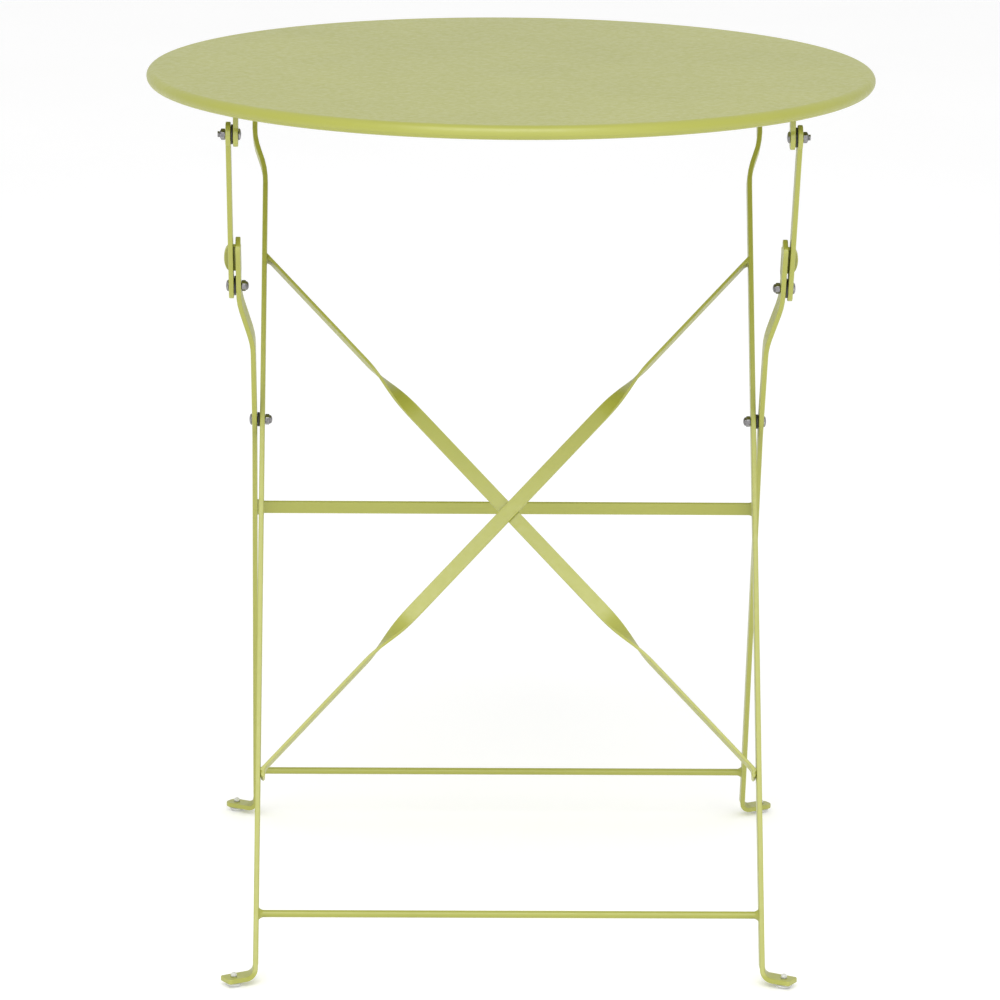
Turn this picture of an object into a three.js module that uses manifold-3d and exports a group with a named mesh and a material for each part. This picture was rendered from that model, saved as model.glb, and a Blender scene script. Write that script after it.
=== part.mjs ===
// Folding bistro table in powder-coated steel. Millimetres, +Z up, front towards -Y.
// The origin is on the floor under the middle of the round top.
import * as THREE from 'three';
import { mergeVertices } from 'three/addons/utils/BufferGeometryUtils.js';
import Module from 'manifold-3d';

// ---- driving dimensions ----
const TABLE_HEIGHT = 710;
const TOP_RADIUS = 300;
const SHEET = 1.2;              // thickness of the pressed top
const BEAD_RADIUS = 5.8;        // rolled edge of the top, outside radius
const STRIP = 4;                // thickness of the leg, arm and rail strips
const STRIP_WIDTH = 16;
const FOOT_REACH = 250;         // where the leg lines meet the floor, each side of the middle
const SCISSOR_Z = 413;          // height of the leg crossing
const LUG_Z = 679;              // height of the pivots under the top
const ELBOW_REACH = 150;        // scissor pivot to elbow, along the outer leg
const OVER_CENTRE = THREE.MathUtils.degToRad(1.5);
const GAP = 0.3;                // clearance between pieces that touch
const BEND_STEPS = 4;           // facets in each bend of a strip

// distances from the middle to the centre of each strip, across the table
const INNER_X = 205;
const INNER_TOP_X = 214.5;
const OUTER_X = 211.5;
const OUTER_FOOT_X = 217.5;
const LUG_X = 222.3;
const ARM_X = 228.3;

// where the strips step sideways, measured as heights
const INNER_STEP = { low: 603, high: 627 };
const OUTER_STEP = { low: 490, high: 530 };
const STEP_BEND_RADIUS = 60;
const FOOT_STRAIGHT_Z = 45;     // the legs run straight from here down to the foot bend

// pivots and fasteners
const EYE_RADIUS = 10;
const TONGUE_END = 48;          // elbow pivot to the square end of the tongue
const TONGUE_CORNER = 3.5;
const ARM_HALF_WIDTH = 7.5;
const ARM_TAIL = 4;             // elbow pivot to the centre of the arm's lower round end
const BOLT_RADIUS = 2.5;
const HOLE_RADIUS = 2.85;
const HEAD = { radius: 4.75, height: 2.2, rim: 0.7 };
const NUT = { across: 8, height: 3.6, dome: 2.4, chamfer: 0.8, shoulder: 0.3 };
const WASHER_RADIUS = 8;
const SCISSOR_WASHER_RADIUS = 6;
const THREAD_END = 2.6;

// round ends of strips and domes, as angles and as fractions of radius and height
const EYE_TURNS = [0.2, 0.5, 0.9, 1.25, Math.PI / 2];
const CORNER_TURNS = [0, 0.5, 1, Math.PI / 2];
const DOME_PROFILE = [[1, 0], [0.8, 0.6], [0.4, 0.93], [0, 1]];

// feet
const BEND_RADIUS = 7;
const TAB_LENGTH = 20.5;
const INNER_TAB_CORNER = 2.5;
const OUTER_TAB_CORNER = 6;
const GLIDE = {
  radius: 7, flat: 3.6, edge: 5.8, edgeZ: 1, shoulderZ: 2.6, height: 3.7,
  stem: 2, stud: 2.6, studHeight: 3.4, inset: 12,
};

// cross members
const FOOT_BAR = { radius: 3, innerZ: 50, outerZ: 46 };
const STRETCHER = { width: 13, thickness: 2.5, height: 320 };
const BRACE = {
  width: 12, thickness: 2.5, top: 536, bottom: 151, rearLift: 1.5,
  twistAt: 96, twistLength: 66, twistSteps: 8,
};

// the stop behind each link arm, a plate with a bowed outer edge
const STOP_TAB = {
  along: 20, halfLength: 13, reach: 14, bow: 4.8, thickness: 4, clearance: 1.8, overlap: 4,
};

// rolled edge of the top: where the curl of the sheet ends, as an angle from level
const CURL_END = -200;
const RAIL_BEND_RADIUS = 5;

const COLOURS = { steel: 0xc4c878, chrome: 0xb8b8ba, black: 0x1c1c1c, plastic: 0xcfd0c6 };

// ---- side view: leg lines and pivots, as (y, z) ----
const LEAN = Math.atan2(FOOT_REACH, SCISSOR_Z);
const X_AXIS = new THREE.Vector3(1, 0, 0);
const INNER = {
  foot: new THREE.Vector3(0, -FOOT_REACH, 0),
  up: new THREE.Vector3(0, Math.sin(LEAN), Math.cos(LEAN)),
  back: new THREE.Vector3(0, Math.cos(LEAN), -Math.sin(LEAN)),
  lean: -1,
  tabCorner: INNER_TAB_CORNER,
};
const OUTER = {
  foot: new THREE.Vector3(0, FOOT_REACH, 0),
  up: new THREE.Vector3(0, -Math.sin(LEAN), Math.cos(LEAN)),
  back: new THREE.Vector3(0, Math.cos(LEAN), Math.sin(LEAN)),
  lean: 1,
  tabCorner: OUTER_TAB_CORNER,
};
const SCISSOR = new THREE.Vector3(0, 0, SCISSOR_Z);
const REAR_LUG = INNER.foot.clone().addScaledVector(INNER.up, LUG_Z / Math.cos(LEAN));
const ELBOW = SCISSOR.clone().addScaledVector(OUTER.up, ELBOW_REACH);
const ARM_LENGTH = (LUG_Z - ELBOW.z) / Math.cos(LEAN - OVER_CENTRE);
const ARM = {
  up: new THREE.Vector3(0, -Math.sin(LEAN - OVER_CENTRE), Math.cos(LEAN - OVER_CENTRE)),
  back: new THREE.Vector3(0, Math.cos(LEAN - OVER_CENTRE), Math.sin(LEAN - OVER_CENTRE)),
};
const FRONT_LUG = ELBOW.clone().addScaledVector(ARM.up, ARM_LENGTH);

const alongLeg = (height) => height / Math.cos(LEAN);

// ---- solids ----
const manifold = await Module();
manifold.setup();

function weld(geometry) {
  const bare = geometry.clone();
  bare.deleteAttribute('normal');
  bare.deleteAttribute('uv');
  return mergeVertices(bare, 1e-4);
}

function toSolid(geometry) {
  const merged = weld(geometry);
  return new manifold.Manifold(new manifold.Mesh({
    numProp: 3,
    vertProperties: new Float32Array(merged.attributes.position.array),
    triVerts: new Uint32Array(merged.index.array),
  }));
}

function toGeometry(solid) {
  const mesh = solid.getMesh();
  const geometry = new THREE.BufferGeometry();
  geometry.setAttribute('position', new THREE.BufferAttribute(mesh.vertProperties, 3));
  geometry.setIndex(new THREE.BufferAttribute(mesh.triVerts, 1));
  return geometry;
}

const cut = (body, ...tools) => toGeometry(
  tools.reduce((solid, tool) => solid.subtract(toSolid(tool)), toSolid(body)));
const join = (body, ...others) => toGeometry(
  others.reduce((solid, other) => solid.add(toSolid(other)), toSolid(body)));

function flipped(geometry) {
  const index = geometry.index.array;
  for (let i = 0; i < index.length; i += 3) {
    [index[i + 1], index[i + 2]] = [index[i + 2], index[i + 1]];
  }
  return geometry;
}

// A closed geometry with its shared corners merged and its faces pointing outwards.
function outward(geometry) {
  const closed = weld(geometry);
  return toSolid(closed).volume() > 0 ? closed : flipped(closed);
}

// The same geometry on the other side of the table.
const mirrored = (geometry) => flipped(weld(geometry).scale(-1, 1, 1));

// A closed solid through a row of four-cornered sections.
function loft(sections) {
  const positions = sections.flat().flatMap((corner) => corner.toArray());
  const index = [];
  const last = (sections.length - 1) * 4;
  for (let ring = 0; ring < last; ring += 4) {
    for (let side = 0; side < 4; side += 1) {
      const next = (side + 1) % 4;
      index.push(ring + side, ring + next, ring + 4 + next);
      index.push(ring + side, ring + 4 + next, ring + 4 + side);
    }
  }
  index.push(0, 2, 1, 0, 3, 2);
  index.push(last, last + 1, last + 2, last, last + 2, last + 3);
  const geometry = new THREE.BufferGeometry();
  geometry.setAttribute('position', new THREE.Float32BufferAttribute(positions, 3));
  geometry.setIndex(index);
  return outward(geometry);
}

// One section of a strip: centre, half-width vector and half-thickness vector.
function section(centre, halfWidth, halfThickness) {
  return [[1, 1], [-1, 1], [-1, -1], [1, -1]].map(([width, thickness]) => centre.clone()
    .addScaledVector(halfWidth, width)
    .addScaledVector(halfThickness, thickness));
}

// Half-widths of a strip at distances before its pivot, where it widens to a round eye.
function eyeStations(radius, halfWidth) {
  const stations = [];
  const neck = Math.asin(Math.min(1, halfWidth / radius));
  for (const turn of EYE_TURNS) {
    stations.push({ ahead: radius * Math.cos(turn), halfWidth: radius * Math.sin(turn) });
  }
  if (radius > halfWidth) {
    const middle = (Math.PI / 2 + Math.PI - neck) / 2;
    for (const turn of [middle, Math.PI - neck]) {
      stations.push({ ahead: radius * Math.cos(turn), halfWidth: radius * Math.sin(turn) });
    }
  }
  return stations;
}

// A path of straight runs joined by arcs, as {along, across, turn}; it runs down the leg.
function filleted(corners, radius) {
  const path = [{ ...corners[0], turn: heading(corners[0], corners[1]) }];
  for (let i = 1; i < corners.length - 1; i += 1) {
    const before = heading(corners[i - 1], corners[i]);
    const after = heading(corners[i], corners[i + 1]);
    const inset = radius * Math.tan(Math.abs(after - before) / 2);
    for (let step = 0; step <= BEND_STEPS; step += 1) {
      const part = step / BEND_STEPS;
      const turn = before + (after - before) * part;
      path.push({ ...pointOnArc(corners[i], before, after, inset, part), turn });
    }
  }
  const end = corners[corners.length - 1];
  path.push({ ...end, turn: heading(corners[corners.length - 2], end) });
  return path;
}

const heading = (from, to) => Math.atan2(to.across - from.across, from.along - to.along);

// A quadratic curve is within a few hundredths of a millimetre of an arc at these small angles.
function pointOnArc(corner, before, after, inset, part) {
  const start = { along: corner.along + inset * Math.cos(before),
    across: corner.across - inset * Math.sin(before) };
  const end = { along: corner.along - inset * Math.cos(after),
    across: corner.across + inset * Math.sin(after) };
  const blend = (key) => (1 - part) ** 2 * start[key] + 2 * part * (1 - part) * corner[key]
    + part ** 2 * end[key];
  return { along: blend('along'), across: blend('across') };
}

// Half-widths of a leg strip over the last few millimetres before a square end.
const squareStations = (corner) => CORNER_TURNS.map((turn) => ({
  ahead: -corner * (1 - Math.sin(turn)),
  halfWidth: STRIP_WIDTH / 2 - corner * (1 - Math.cos(turn)),
}));

// Sections of a leg strip from its top end down to where the foot bend starts.
function legSections(frame, topAlong, endStations, corners) {
  const halfThickness = (turn) => X_AXIS.clone().multiplyScalar(Math.cos(turn) * STRIP / 2)
    .addScaledVector(frame.up, Math.sin(turn) * STRIP / 2);
  const place = (along, across) => frame.foot.clone()
    .addScaledVector(frame.up, along)
    .addScaledVector(X_AXIS, across);
  const topX = corners[0].across;
  const end = endStations.map(({ ahead, halfWidth }) =>
    section(place(topAlong + ahead, topX), frame.back.clone().multiplyScalar(halfWidth),
      halfThickness(0)));
  const straight = filleted(corners, STEP_BEND_RADIUS).slice(1).map(({ along, across, turn }) =>
    section(place(along, across), frame.back.clone().multiplyScalar(STRIP_WIDTH / 2),
      halfThickness(turn)));
  return [...end, ...straight];
}

// The strip turns outwards about a level line, so the tab lies flat on the floor and points
// outwards and away from the middle of the table.
function footPlan(frame, footX) {
  const bendZ = GLIDE.height + GAP + STRIP / 2 + BEND_RADIUS;
  const levelHalf = STRIP_WIDTH / 2 / Math.cos(LEAN);
  const drift = Math.tan(LEAN) * frame.lean;
  const bendY = frame.foot.y - drift * bendZ;
  const outward = new THREE.Vector3(Math.cos(LEAN), Math.sin(LEAN) * frame.lean, 0);
  const sideways = new THREE.Vector3(-Math.sin(LEAN) * frame.lean, Math.cos(LEAN), 0);
  const arcLength = BEND_RADIUS * Math.PI / 2;
  const tabStart = new THREE.Vector3(footX + BEND_RADIUS, bendY + drift * arcLength,
    bendZ - BEND_RADIUS);
  return { bendZ, levelHalf, drift, bendY, outward, sideways, tabStart };
}

function footSections(frame, footX) {
  const plan = footPlan(frame, footX);
  const sections = [];
  for (let step = 0; step <= BEND_STEPS; step += 1) {
    const turn = step / BEND_STEPS * Math.PI / 2;
    const centre = new THREE.Vector3(footX + BEND_RADIUS * (1 - Math.cos(turn)),
      plan.bendY + plan.drift * BEND_RADIUS * turn, plan.bendZ - BEND_RADIUS * Math.sin(turn));
    const normal = new THREE.Vector3(Math.cos(turn), 0, Math.sin(turn));
    sections.push(section(centre, new THREE.Vector3(0, plan.levelHalf, 0),
      normal.multiplyScalar(STRIP / 2)));
  }
  for (const { ahead, halfWidth } of squareStations(frame.tabCorner)) {
    const centre = plan.tabStart.clone().addScaledVector(plan.outward, TAB_LENGTH + ahead);
    sections.push(section(centre, plan.sideways.clone().multiplyScalar(halfWidth),
      new THREE.Vector3(0, 0, STRIP / 2)));
  }
  return sections;
}

const glideCentre = (frame, footX) => {
  const plan = footPlan(frame, footX);
  return plan.tabStart.clone().addScaledVector(plan.outward, GLIDE.inset);
};

// A round solid on a line parallel to X, from a closed profile of [radius, x] points.
function turned(profile, centre, sides = 16) {
  const points = profile.map(([radius, x]) => new THREE.Vector2(radius, x));
  return outward(new THREE.LatheGeometry(points, sides)
    .rotateZ(-Math.PI / 2)
    .translate(0, centre.y, centre.z));
}

const rod = (radius, from, to, centre) => turned(
  [[0, from], [radius, from], [radius, to], [0, to]], centre);

// A through hole across a strip whose centre is at x.
const crossHole = (centre, x) => rod(HOLE_RADIUS, x - STRIP, x + STRIP, centre);

const glideHole = (centre) => new THREE.CylinderGeometry(GLIDE.stem + 2 * GAP,
  GLIDE.stem + 2 * GAP, STRIP * 2, 16)
  .rotateX(Math.PI / 2)
  .translate(centre.x, centre.y, centre.z);

// ---- frames ----
function innerLeg() {
  const top = alongLeg(LUG_Z);
  const corners = [
    { along: top, across: INNER_TOP_X },
    { along: alongLeg(INNER_STEP.high), across: INNER_TOP_X },
    { along: alongLeg(INNER_STEP.low), across: INNER_X },
    { along: alongLeg(FOOT_STRAIGHT_Z), across: INNER_X },
  ];
  const roundEnd = eyeStations(STRIP_WIDTH / 2, STRIP_WIDTH / 2);
  const sections = [
    ...legSections(INNER, top, roundEnd, corners), ...footSections(INNER, INNER_X),
  ];
  return cut(loft(sections), crossHole(REAR_LUG, INNER_TOP_X), crossHole(SCISSOR, INNER_X),
    glideHole(glideCentre(INNER, INNER_X)));
}

// Below the crossing the outer legs splay a little.
const outerX = (height) => OUTER_X + (OUTER_FOOT_X - OUTER_X) * (1 - height / SCISSOR_Z);
const OUTER_TAB_X = outerX(BEND_RADIUS * 2);

// A plate behind the arm, standing out of the rear edge of the tongue on a web.
function stopTab() {
  const outline = new THREE.Shape()
    .moveTo(-STOP_TAB.halfLength, 0)
    .lineTo(STOP_TAB.halfLength, 0)
    .absellipse(0, STOP_TAB.reach - STOP_TAB.bow, STOP_TAB.halfLength, STOP_TAB.bow,
      0, Math.PI, false);
  const plate = new THREE.ExtrudeGeometry(outline,
    { depth: STOP_TAB.thickness, bevelEnabled: false, curveSegments: 10 });
  const basis = new THREE.Matrix4().makeBasis(ARM.up, X_AXIS, ARM.back);
  const root = ELBOW.clone()
    .addScaledVector(ARM.up, STOP_TAB.along)
    .addScaledVector(ARM.back, STRIP_WIDTH / 2 + STOP_TAB.clearance)
    .addScaledVector(X_AXIS, LUG_X - STRIP / 2);
  const web = new THREE.BoxGeometry(
    STOP_TAB.halfLength * 2, STRIP, STOP_TAB.thickness + STOP_TAB.overlap)
    .translate(0, STRIP / 2, (STOP_TAB.thickness - STOP_TAB.overlap) / 2);
  const place = (geometry) =>
    outward(geometry.applyMatrix4(basis).translate(root.x, root.y, root.z));
  return join(place(plate), place(web));
}

function outerLeg() {
  const scissor = alongLeg(SCISSOR_Z);
  const top = scissor + ELBOW_REACH + TONGUE_END;
  const corners = [
    { along: top, across: LUG_X },
    { along: alongLeg(OUTER_STEP.high), across: LUG_X },
    { along: alongLeg(OUTER_STEP.low), across: OUTER_X },
    { along: scissor - EYE_RADIUS, across: OUTER_X },
    { along: alongLeg(FOOT_STRAIGHT_Z), across: outerX(FOOT_STRAIGHT_Z) },
  ];
  const squareEnd = squareStations(TONGUE_CORNER).reverse();
  const sections = [
    ...legSections(OUTER, top, squareEnd, corners), ...footSections(OUTER, OUTER_TAB_X),
  ];
  return cut(join(loft(sections), stopTab()), crossHole(ELBOW, LUG_X),
    crossHole(SCISSOR, OUTER_X), glideHole(glideCentre(OUTER, OUTER_TAB_X)));
}

// A round bar between two legs.
function footBar(frame, height, halfLength) {
  const centre = frame.foot.clone().addScaledVector(frame.up, alongLeg(height));
  return rod(FOOT_BAR.radius, -halfLength, halfLength, centre);
}

// A flat bar between the outer legs, level with their rear edges.
function flatStretcher() {
  const reach = outerX(STRETCHER.height) - STRIP / 2 - GAP;
  const centre = OUTER.foot.clone()
    .addScaledVector(OUTER.up, alongLeg(STRETCHER.height))
    .addScaledVector(OUTER.back, (STRIP_WIDTH - STRETCHER.thickness) / 2);
  return new THREE.BoxGeometry(reach * 2, STRETCHER.thickness, STRETCHER.width)
    .rotateX(LEAN)
    .translate(0, centre.y, centre.z);
}

// A diagonal strip: flat in the middle, and twisted a quarter turn towards each end, where it
// stands on edge against the inner faces of the legs.
function brace(rise, offset, lift) {
  const reach = INNER_X - STRIP / 2 - GAP;
  const half = (alongLeg(BRACE.top) - alongLeg(BRACE.bottom)) / 2;
  const middle = INNER.foot.clone()
    .addScaledVector(INNER.up, alongLeg((BRACE.top + BRACE.bottom) / 2 + lift))
    .addScaledVector(INNER.back, offset);
  const slope = Math.atan2(half, reach);
  const across = X_AXIS.clone().multiplyScalar(Math.cos(slope))
    .addScaledVector(INNER.up, Math.sin(slope) * rise);
  const lower = X_AXIS.clone().multiplyScalar(Math.sin(slope) * rise)
    .addScaledVector(INNER.up, -Math.cos(slope));
  const front = INNER.back.clone().negate();
  const place = (x) => middle.clone().addScaledVector(across, x / Math.cos(slope));
  const ring = (x, turn) => {
    const width = lower.clone().multiplyScalar(Math.cos(turn))
      .addScaledVector(front, Math.sin(turn));
    const thickness = front.clone().multiplyScalar(Math.cos(turn))
      .addScaledVector(lower, -Math.sin(turn));
    return section(place(x), width.multiplyScalar(BRACE.width / 2),
      thickness.multiplyScalar(BRACE.thickness / 2));
  };
  const endRing = (x) => section(place(x), front.clone().multiplyScalar(BRACE.width / 2),
    INNER.up.clone().multiplyScalar(BRACE.thickness / 2 / Math.cos(slope)));
  const twistHalf = BRACE.twistLength / 2 * Math.cos(slope);
  const twist = (side) => Array.from({ length: BRACE.twistSteps + 1 }, (_, step) => {
    const part = step / BRACE.twistSteps;
    const x = side * (BRACE.twistAt + twistHalf * (2 * part - 1));
    return ring(x, THREE.MathUtils.smoothstep(part, 0, 1) * Math.PI / 2);
  });
  return loft([endRing(-reach), ...twist(-1).reverse(), ...twist(1), endRing(reach)]);
}

// ---- top and arms ----
// Pressed sheet whose edge is rolled under into a bead; a narrow slot stays open inside it.
function tabletop() {
  const beadX = TOP_RADIUS - BEAD_RADIUS;
  const beadZ = TABLE_HEIGHT - BEAD_RADIUS;
  const arc = (radius, from, to, steps) => Array.from({ length: steps + 1 }, (_, i) => {
    const angle = THREE.MathUtils.degToRad(from + (to - from) * i / steps);
    return new THREE.Vector2(beadX + radius * Math.cos(angle), beadZ + radius * Math.sin(angle));
  });
  const profile = [
    new THREE.Vector2(0, TABLE_HEIGHT - SHEET),
    ...arc(BEAD_RADIUS - SHEET, 90, CURL_END, 8),
    ...arc(BEAD_RADIUS, CURL_END, 90, 10),
    new THREE.Vector2(0, TABLE_HEIGHT),
  ];
  return new THREE.LatheGeometry(profile, 72).rotateX(Math.PI / 2);
}

// A strip welded under the top whose two ends turn down as pivot lugs.
function lugRail(pivot) {
  const railZ = TABLE_HEIGHT - SHEET - GAP - STRIP / 2;
  const stations = eyeStations(EYE_RADIUS, STRIP_WIDTH / 2)
    .map(({ ahead, halfWidth }) => ({ x: LUG_X, z: pivot.z - ahead, halfWidth, turn: 0 }));
  for (let step = 0; step <= BEND_STEPS; step += 1) {
    const turn = step / BEND_STEPS * Math.PI / 2;
    stations.push({
      x: LUG_X - RAIL_BEND_RADIUS * (1 - Math.cos(turn)),
      z: railZ - RAIL_BEND_RADIUS * (1 - Math.sin(turn)),
      halfWidth: STRIP_WIDTH / 2,
      turn,
    });
  }
  const ring = (side) => ({ x, z, halfWidth, turn }) => section(
    new THREE.Vector3(side * x, pivot.y, z),
    new THREE.Vector3(0, halfWidth, 0),
    new THREE.Vector3(side * Math.cos(turn), 0, Math.sin(turn)).multiplyScalar(STRIP / 2));
  const rings = [...stations.map(ring(1)), ...stations.toReversed().map(ring(-1))];
  return cut(loft(rings), crossHole(pivot, LUG_X), crossHole(pivot, -LUG_X));
}

// The arm between the front lug and the elbow: a straight strip with a round eye at each end.
function linkArm() {
  const place = (along) => ELBOW.clone()
    .addScaledVector(ARM.up, along)
    .addScaledVector(X_AXIS, ARM_X);
  const ring = (along, halfWidth) => section(place(along),
    ARM.back.clone().multiplyScalar(halfWidth), new THREE.Vector3(STRIP / 2, 0, 0));
  const eye = eyeStations(EYE_RADIUS, ARM_HALF_WIDTH);
  const tail = eyeStations(ARM_HALF_WIDTH, ARM_HALF_WIDTH).reverse();
  const rings = [
    ...eye.map(({ ahead, halfWidth }) => ring(ARM_LENGTH + ahead, halfWidth)),
    ...tail.map(({ ahead, halfWidth }) => ring(-ARM_TAIL - ahead, halfWidth)),
  ];
  return cut(loft(rings), crossHole(ELBOW, ARM_X), crossHole(FRONT_LUG, ARM_X));
}

// ---- fasteners, each built on the right-hand side ----
// Points of a dome that stands on x and bulges towards out.
const domePoints = (x, out, radius, height) =>
  DOME_PROFILE.map(([wide, high]) => [radius * wide, x + out * height * high]);

// A low domed head with a plain shank; the head's flat is at headX and the shank ends at endX.
function bolt(centre, headX, endX) {
  const out = Math.sign(headX - endX);
  return turned([[0, endX], [BOLT_RADIUS, endX], [BOLT_RADIUS, headX], [HEAD.radius, headX],
    ...domePoints(headX + out * HEAD.rim, out, HEAD.radius, HEAD.height - HEAD.rim)], centre);
}

// The hexagon of a nut with a dome, or a low chamfer, on its outer face.
function nutBody(centre, baseX, out, domeHeight) {
  const faceX = baseX + out * NUT.height;
  const corner = NUT.across / Math.sqrt(3);
  const hexagon = new THREE.CylinderGeometry(corner, corner, NUT.height, 6)
    .rotateZ(Math.PI / 2)
    .translate((baseX + faceX) / 2, centre.y, centre.z);
  const radius = NUT.across / 2 - NUT.shoulder;
  const cap = turned([[0, faceX - out], [radius, faceX - out],
    ...domePoints(faceX, out, radius, domeHeight)], centre, 12);
  return join(hexagon, cap);
}

const openNut = (centre, baseX, out) => cut(nutBody(centre, baseX, out, NUT.chamfer),
  rod(HOLE_RADIUS, baseX - out, baseX + out * NUT.height * 2, centre));

const capNut = (centre, baseX, out) => cut(nutBody(centre, baseX, out, NUT.dome),
  rod(HOLE_RADIUS, baseX - out, baseX + out * (NUT.height + GAP), centre));

// A cap nut with the inner half of the elbow's bolt still in it.
const studNut = (centre, baseX, out, studEnd) => join(nutBody(centre, baseX, out, NUT.dome),
  rod(BOLT_RADIUS, baseX + out, studEnd, centre));

function washer(centre, from, to, radius = WASHER_RADIUS) {
  return turned([[HOLE_RADIUS, from], [radius, from], [radius, to],
    [HOLE_RADIUS, to], [HOLE_RADIUS, from]], centre);
}

// Stacks of strip faces on the right-hand side, each with the running gap added.
const SIDE = STRIP / 2 + GAP;
const SPLAY_GAP = 0.15;         // more room against the splayed outer legs
const pivotStacks = {
  scissor: {
    bolt: bolt(SCISSOR, OUTER_X + SIDE, INNER_X - SIDE - NUT.height),
    washer: washer(SCISSOR, INNER_X + SIDE, OUTER_X - SIDE, SCISSOR_WASHER_RADIUS),
    nut: capNut(SCISSOR, INNER_X - SIDE, -1),
  },
  front_lug: {
    bolt: bolt(FRONT_LUG, LUG_X - SIDE, ARM_X + SIDE + NUT.height + THREAD_END),
    washer: washer(FRONT_LUG, LUG_X + SIDE, ARM_X - SIDE),
    nut: openNut(FRONT_LUG, ARM_X + SIDE, 1),
  },
  rear_lug: {
    bolt: bolt(REAR_LUG, INNER_TOP_X - SIDE, LUG_X + SIDE + NUT.height + THREAD_END),
    washer: washer(REAR_LUG, INNER_TOP_X + SIDE, LUG_X - SIDE),
    nut: openNut(REAR_LUG, LUG_X + SIDE, 1),
  },
  elbow: {
    bolt: bolt(ELBOW, ARM_X + SIDE, ARM_X - STRIP / 2),
    washer: washer(ELBOW, LUG_X + SIDE, ARM_X - SIDE),
    nut: studNut(ELBOW, LUG_X - SIDE, -1, ARM_X - SIDE),
  },
};

// A moulded glide: a domed pad under the tab, a stem through it and a small stud above it.
function glide(centre) {
  const studZ = centre.z + STRIP / 2 + GAP;
  const profile = [[0, 0], [GLIDE.flat, 0], [GLIDE.edge, GLIDE.edgeZ],
    [GLIDE.radius, GLIDE.shoulderZ], [GLIDE.radius, GLIDE.height], [GLIDE.stem, GLIDE.height],
    [GLIDE.stem, studZ], ...domePoints(studZ, 1, GLIDE.stud, GLIDE.studHeight)]
    .map(([radius, z]) => new THREE.Vector2(radius, z));
  return new THREE.LatheGeometry(profile, 16)
    .rotateX(Math.PI / 2)
    .translate(centre.x, centre.y, 0);
}

// ---- assembly ----
const finish = (colour, roughness, metalness) =>
  new THREE.MeshStandardMaterial({ color: colour, roughness, metalness });
const table = new THREE.Group();

function add(name, geometry, material) {
  const mesh = new THREE.Mesh(geometry, material);
  mesh.name = name;
  mesh.geometry.computeVertexNormals();
  table.add(mesh);
}

function addPair(name, geometry, makeMaterial) {
  add(`${name}_right`, geometry, makeMaterial());
  add(`${name}_left`, mirrored(geometry), makeMaterial());
}

const painted = () => finish(COLOURS.steel, 0.45, 0.1);
const chromed = () => finish(COLOURS.chrome, 0.2, 1);
const blackened = () => finish(COLOURS.black, 0.6, 0);
const moulded = () => finish(COLOURS.plastic, 0.5, 0);

add('tabletop', tabletop(), painted());
add('front_rail', lugRail(FRONT_LUG), painted());
add('rear_rail', lugRail(REAR_LUG), painted());
addPair('inner_leg', innerLeg(), painted);
addPair('outer_leg', outerLeg(), painted);
addPair('link_arm', linkArm(), painted);
add('front_foot_bar', footBar(INNER, FOOT_BAR.innerZ, INNER_X - SIDE), painted());
add('rear_foot_bar', footBar(OUTER, FOOT_BAR.outerZ, outerX(FOOT_BAR.outerZ) - SIDE - SPLAY_GAP),
  painted());
add('flat_stretcher', flatStretcher(), painted());
const braceOffset = BRACE.thickness / 2 + GAP / 2;
add('brace_front', brace(1, -braceOffset, 0), painted());
add('brace_rear', brace(-1, braceOffset, BRACE.rearLift), painted());
for (const [name, stack] of Object.entries(pivotStacks)) {
  addPair(`${name}_bolt`, stack.bolt, chromed);
  addPair(`${name}_washer`, stack.washer, blackened);
  addPair(`${name}_nut`, stack.nut, chromed);
}
addPair('front_glide', glide(glideCentre(INNER, INNER_X)), moulded);
addPair('rear_glide', glide(glideCentre(OUTER, OUTER_TAB_X)), moulded);

export default table;
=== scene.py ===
"""Looks for a folding bistro table: fine surfaces, materials, light and camera on the CAD frame."""
import math

import bmesh
import bpy
import numpy as np
from mathutils import Matrix, Vector


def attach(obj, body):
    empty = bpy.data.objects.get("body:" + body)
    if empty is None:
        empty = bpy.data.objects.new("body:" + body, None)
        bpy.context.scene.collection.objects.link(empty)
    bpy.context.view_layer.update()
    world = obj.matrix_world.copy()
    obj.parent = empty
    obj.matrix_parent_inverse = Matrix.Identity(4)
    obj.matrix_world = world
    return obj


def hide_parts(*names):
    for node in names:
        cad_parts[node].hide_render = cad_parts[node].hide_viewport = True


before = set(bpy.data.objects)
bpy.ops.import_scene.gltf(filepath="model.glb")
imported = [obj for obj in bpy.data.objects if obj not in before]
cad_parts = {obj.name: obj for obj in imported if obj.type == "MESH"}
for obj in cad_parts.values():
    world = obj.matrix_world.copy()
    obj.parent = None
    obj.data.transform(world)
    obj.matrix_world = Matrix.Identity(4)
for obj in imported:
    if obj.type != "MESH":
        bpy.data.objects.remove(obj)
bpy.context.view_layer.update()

MM = 0.001
SIDES = {"right": 1, "left": -1}

# ---- sizes, in metres: the CAD model's own, then those of finer shapes ----
TABLE_HEIGHT = 710 * MM
TOP_RADIUS = 300 * MM
SHEET = 1.2 * MM
BEAD_RADIUS = 5.8 * MM
CURL_END = math.radians(-200)
RIM_CREASE_AT = math.radians(-33)  # where the rolling tool leaves a line round the rim
RIM_CREASE_SPREAD = math.radians(4)
RIM_CREASE_DEPTH = 0.3 * MM
STRIP = 4 * MM
STRIP_WIDTH = 16 * MM
FOOT_REACH = 250 * MM
SCISSOR_Z = 413 * MM
LUG_Z = 679 * MM
ELBOW_REACH = 150 * MM
OVER_CENTRE = math.radians(1.5)
GAP = 0.3 * MM
INNER_X = 205 * MM
INNER_TOP_X = 214.5 * MM
OUTER_X = 211.5 * MM
OUTER_FOOT_X = 217.5 * MM
LUG_X = 222.3 * MM
ARM_X = 228.3 * MM
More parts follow.
